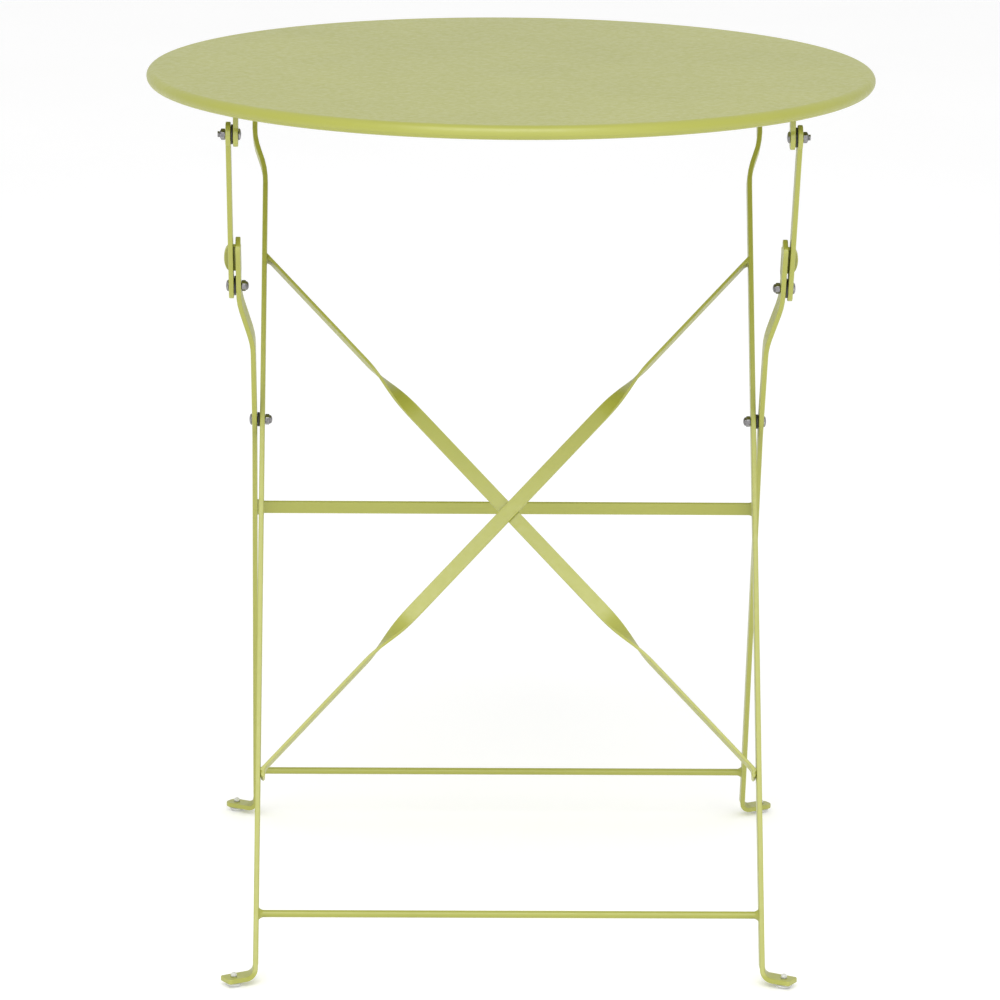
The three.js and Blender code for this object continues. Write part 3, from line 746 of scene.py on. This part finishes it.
def hexagon(angle):
    """Distance from the middle of a nut to its side at an angle."""
    return NUT_ACROSS / 2 / math.cos((angle + math.pi / 6) % (math.pi / 3) - math.pi / 6)


def nut(name, centre, base_x, out, side, bore, dome=0.0, stud=0.0):
    """A hexagon nut with turned chamfers: open with a low collar, or closed by a dome.
    A stud reaches back from the base of a domed nut.
    """
    place = crosswise(centre, side)
    start = NUT_ACROSS / 2 * NUT_CHAMFER_START
    face = base_x + out * NUT_HEIGHT
    profile = []                  # (radius at an angle, along)

    def turned(radius, along):
        profile.append((lambda a: radius, along))

    if stud:
        turned(0.0, base_x - out * stud)
        turned(bore - 0.35 * MM, base_x - out * stud)
        turned(bore, base_x - out * (stud - 0.35 * MM))
    elif dome:
        turned(0.0, face)
        turned(bore, face)
    turned(bore, base_x)
    for level in NUT_LEVELS:
        depth = min(level * NUT_HEIGHT, NUT_HEIGHT - level * NUT_HEIGHT)
        profile.append((lambda a, r=start + depth * NUT_CHAMFER_SLOPE: min(hexagon(a), r),
                        base_x + out * level * NUT_HEIGHT))
    if dome:
        turned(NUT_NECK, face + out * 0.05 * MM)
        for radius, along in dome_profile(NUT_NECK, face + out * 0.3 * MM, out, dome - 0.3 * MM, 10):
            turned(radius, along)
    else:
        collar = NUT_NECK - 0.3 * MM
        turned(collar, face)
        turned(collar, face + out * (NUT_COLLAR - 0.2 * MM))
        turned(collar - 0.2 * MM, face + out * NUT_COLLAR)
        turned(bore, face + out * NUT_COLLAR)
    rings = [turned_ring(place, along, 72, radius) for radius, along in profile]
    return rings_mesh(name, rings, closed=not dome)


def washer(name, centre, low, high, side, radius):
    """A flat ring with softened edges."""
    soft = min(0.3 * MM, (high - low) / 3)
    profile = [(HOLE_RADIUS, low + soft), (HOLE_RADIUS + soft, low), (radius - soft, low),
               (radius - soft * 0.3, low + soft * 0.3), (radius, low + soft),
               (radius, high - soft), (radius - soft * 0.3, high - soft * 0.3),
               (radius - soft, high), (HOLE_RADIUS + soft, high), (HOLE_RADIUS, high - soft)]
    return lathe(name, profile, crosswise(centre, side), 48, closed=True)


def glide(name, centre, side):
    """A moulded pad with a stem through the foot tab and a domed stud above it."""
    stud_z = centre[2] + STRIP / 2 + GAP
    profile = [(0, 0), *GLIDE_SIDE, (GLIDE_STEM, GLIDE_HEIGHT), (GLIDE_STEM, stud_z),
               (GLIDE_STUD * 0.9, stud_z)]
    profile += dome_profile(GLIDE_STUD, stud_z + GLIDE_STUD_SIDE, 1,
                            GLIDE_STUD_HEIGHT - GLIDE_STUD_SIDE)
    return lathe(name, profile, upright(centre, side), 40)


# ---- the table ----
def build():
    """Every piece of the table."""
    settle(tabletop("tabletop_sheet"), "tabletop", "powder_coat", "tabletop")
    for node, pivot in (("front_rail", FRONT_LUG), ("rear_rail", REAR_LUG)):
        settle(lug_rail(f"{node}_strip", pivot), "tabletop", "powder_coat", node)
    settle(flat_stretcher("flat_stretcher_bar"), "outer_frame", "powder_coat", "flat_stretcher")
    shift = (FLAT_THICKNESS + GAP) / 2
    for node, rise, offset, lift in (("brace_front", 1, -shift, 0),
                                     ("brace_rear", -1, shift, BRACE_REAR_LIFT)):
        settle(brace(f"{node}_strip", rise, offset, lift), "inner_frame", "powder_coat", node)
    clear = STRIP / 2 + GAP
    settle(foot_bar("front_foot_rod", INNER, INNER_BAR_Z, INNER_X - STRIP / 2 + WELD_BITE),
           "inner_frame", "powder_coat", "front_foot_bar")
    settle(foot_bar("rear_foot_rod", OUTER, OUTER_BAR_Z, outer_x(OUTER_BAR_Z) - STRIP / 2 + WELD_BITE),
           "outer_frame", "powder_coat", "rear_foot_bar")
    for hand, side in SIDES.items():
        build_side(hand, side, clear)


def build_side(hand, side, clear):
    """The legs, arm, pivots and glides of one side."""
    def paint(piece, body, node):
        settle(piece, body, "powder_coat", f"{node}_{hand}")
    paint(inner_leg(f"inner_strip_{hand}", side), "inner_frame", "inner_leg")
    paint(outer_leg(f"outer_strip_{hand}", side), "outer_frame", "outer_leg")
    paint(link_arm(f"link_strip_{hand}", side), f"link_arm_{hand}", "link_arm")
    arm = f"link_arm_{hand}"
    near, far = clear, clear + NUT_HEIGHT
    # pivot: centre, bolt (head, end, thread start), washer (from, to, radius),
    # nut (base, direction, bore, dome, stud), bodies of bolt, washer and nut
    stacks = {
        "scissor": (SCISSOR, (OUTER_X + near, INNER_X - far, None),
                    (INNER_X + near, OUTER_X - near, SCISSOR_WASHER_RADIUS),
                    (INNER_X - near, -1, HOLE_RADIUS, NUT_DOME, 0.0),
                    ("inner_frame", "inner_frame", "inner_frame")),
        "front_lug": (FRONT_LUG, (LUG_X - near, ARM_X + far + THREAD_END, ARM_X + near),
                      (LUG_X + near, ARM_X - near, WASHER_RADIUS),
                      (ARM_X + near, 1, HOLE_RADIUS, 0.0, 0.0),
                      ("tabletop", "tabletop", "tabletop")),
        "rear_lug": (REAR_LUG, (INNER_TOP_X - near, LUG_X + far + THREAD_END, LUG_X + near),
                     (INNER_TOP_X + near, LUG_X - near, WASHER_RADIUS),
                     (LUG_X + near, 1, HOLE_RADIUS, 0.0, 0.0),
                     ("tabletop", "tabletop", "tabletop")),
        "elbow": (ELBOW, (ARM_X + near, ARM_X - STRIP / 2, None),
                  (LUG_X + near, ARM_X - near, WASHER_RADIUS),
                  (LUG_X - near, -1, BOLT_RADIUS, NUT_DOME, STUD_LENGTH),
                  (arm, "outer_frame", "outer_frame")),
    }
    for name, (centre, shank, gap, body, rides) in stacks.items():
        settle(bolt(f"{name}_screw_{hand}", centre, shank[0], shank[1], side, shank[2]),
               rides[0], "plated_steel", f"{name}_bolt_{hand}")
        settle(washer(f"{name}_ring_{hand}", centre, gap[0], gap[1], side, gap[2]),
               rides[1], "black_washer", f"{name}_washer_{hand}")
        settle(nut(f"{name}_hex_{hand}", centre, body[0], body[1], side, *body[2:]),
               rides[2], "plated_steel", f"{name}_nut_{hand}")
    for node, line, foot_x, body in (("front_glide", INNER, INNER_X, "inner_frame"),
                                     ("rear_glide", OUTER, OUTER_TAB_X, "outer_frame")):
        settle(glide(f"{node}_pad_{hand}", glide_centre(line, foot_x), side),
               body, "clear_glide", f"{node}_{hand}")


build()


# ---- floor, light and camera ----
FLOOR_SIZE = 30
FLOOR_DROP = 0.1 * MM             # keeps the floor clear of the glides' flat undersides


def stage_floor():
    bpy.ops.mesh.primitive_plane_add(size=FLOOR_SIZE, location=(0, 0, -FLOOR_DROP))
    floor = bpy.context.object
    floor.name = "studio_floor"
    n = Nodes("studio_floor")
    tone = n.mix(n.spread(n.noise(2, 3), 0.3, 0.7), (0.955, 0.955, 0.955), (0.97, 0.97, 0.97))
    roughness = n.spread(n.noise(40, 3), 0.3, 0.7, 0.6, 0.7)
    grain = n.bump(n.noise(300, 3), 0.02, 0.1 * MM)
    n.finish(tone, roughness, grain, Emission_Color=(1, 1, 1, 1), Emission_Strength=0.12)
    floor.data.materials.append(n.material)


def area_light(name, place, aim, size, power):
    data = bpy.data.lights.new(name, "AREA")
    data.shape = "RECTANGLE"
    data.size, data.size_y = size
    data.energy = power
    lamp = bpy.data.objects.new(name, data)
    lamp.location = place
    lamp.rotation_euler = (Vector(aim) - Vector(place)).to_track_quat("-Z", "Y").to_euler()
    bpy.context.scene.collection.objects.link(lamp)


def studio():
    stage_floor()
    world = bpy.data.worlds.new("studio")
    world.use_nodes = True
    background = world.node_tree.nodes["Background"]
    background.inputs["Color"].default_value = (1, 1, 1, 1)
    background.inputs["Strength"].default_value = 0.85
    bpy.context.scene.world = world
    area_light("high_softbox", (-0.2, -2.6, 3.2), (0, 0, 0.4), (2.8, 2.6), 62)
    area_light("front_wall", (0, -6.2, 2.2), (0, 0, 0.4), (9, 4), 100)


def camera():
    """A long lens a little above the top, turned and tilted slightly. Angles are in radians."""
    place = Vector((-0.0907, -4.6014, 1.4059))
    yaw, pitch, roll = 0.01839, 0.22663, 0.00872
    forward = Vector((math.sin(yaw) * math.cos(pitch), math.cos(yaw) * math.cos(pitch),
                      -math.sin(pitch)))
    level = Vector((math.cos(yaw), -math.sin(yaw), 0))
    above = level.cross(forward)
    right = level * math.cos(roll) + above * math.sin(roll)
    up = above * math.cos(roll) - level * math.sin(roll)
    data = bpy.data.cameras.new("camera")
    data.sensor_width = 36
    data.lens = 202.78
    data.clip_end = 100
    view = bpy.data.objects.new("camera", data)
    view.matrix_world = Matrix((
        (right.x, up.x, -forward.x, place.x), (right.y, up.y, -forward.y, place.y),
        (right.z, up.z, -forward.z, place.z), (0, 0, 0, 1)))
    bpy.context.scene.collection.objects.link(view)
    bpy.context.scene.camera = view


studio()
camera()
bpy.context.scene.view_settings.view_transform = "Standard"
